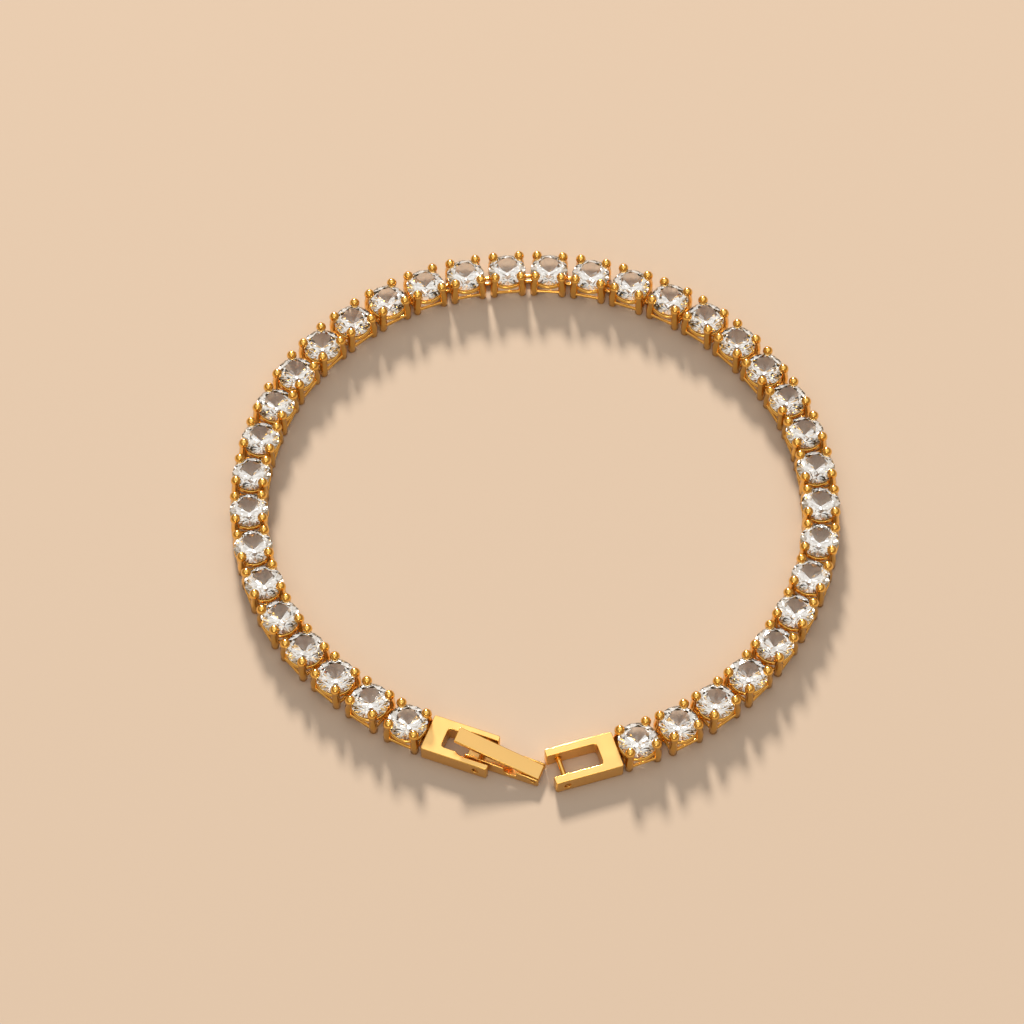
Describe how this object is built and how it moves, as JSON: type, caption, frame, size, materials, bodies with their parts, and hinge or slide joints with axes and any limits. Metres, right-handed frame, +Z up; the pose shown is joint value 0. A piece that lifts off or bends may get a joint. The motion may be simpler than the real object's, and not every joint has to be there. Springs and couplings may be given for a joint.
{
  "type": "tennis bracelet",
  "caption": "Tennis bracelet laid in an open ring: a row of round brilliants in four-claw gold baskets, with a fold-over clasp lying unfastened.",
  "frame": {"origin": "middle of the loop's bounding box, on the surface it lies on", "axes": "+Z up, through the tables of the stones; the clasp is on the -Y side, with the lever's half towards -X"},
  "size_m": [0.063, 0.0648, 0.0034],
  "materials": {
    "crystal": "polished facets, colourless",
    "polished_gold": "polished yellow gold",
    "satin_gold": "satin yellow gold with bright edges"
  },
  "bodies": {
    "bracelet": {"stone_01": "crystal", "stone_02": "crystal", "stone_03": "crystal", "stone_04": "crystal", "stone_05": "crystal", "stone_06": "crystal", "stone_07": "crystal", "stone_08": "crystal", "stone_09": "crystal", "stone_10": "crystal", "stone_11": "crystal", "stone_12": "crystal", "stone_13": "crystal", "stone_14": "crystal", "stone_15": "crystal", "stone_16": "crystal", "stone_17": "crystal", "stone_18": "crystal", "stone_19": "crystal", "stone_20": "crystal", "stone_21": "crystal", "stone_22": "crystal", "stone_23": "crystal", "stone_24": "crystal", "stone_25": "crystal", "stone_26": "crystal", "stone_27": "crystal", "stone_28": "crystal", "stone_29": "crystal", "stone_30": "crystal", "stone_31": "crystal", "stone_32": "crystal", "stone_33": "crystal", "stone_34": "crystal", "stone_35": "crystal", "stone_36": "crystal", "stone_37": "crystal", "basket_row_left": "polished_gold", "basket_row_right": "polished_gold", "middle_link": "polished_gold", "clasp_end_link": "polished_gold", "catch_end_link": "polished_gold", "clasp_rivet": "polished_gold", "catch_bar": "polished_gold", "clasp_frame": "satin_gold", "catch_frame": "satin_gold"},
    "tray": {"clasp_tray": "satin_gold", "lever_pin": "polished_gold"},
    "lever": {"clasp_lever": "satin_gold"}
  },
  "joints": [
    {"name": "tray_swing", "type": "hinge", "parent": "bracelet", "child": "tray", "pos_m": [-0.00531, -0.02848, 0.0008], "axis": [-0.3532, -0.9356, 0], "range_deg": [-30, 20]},
    {"name": "lever_lift", "type": "hinge", "parent": "tray", "child": "lever", "pos_m": [0.00007, -0.03051, 0.00072], "axis": [0.3532, 0.9356, 0], "range_deg": [-10, 70]}
  ]
}
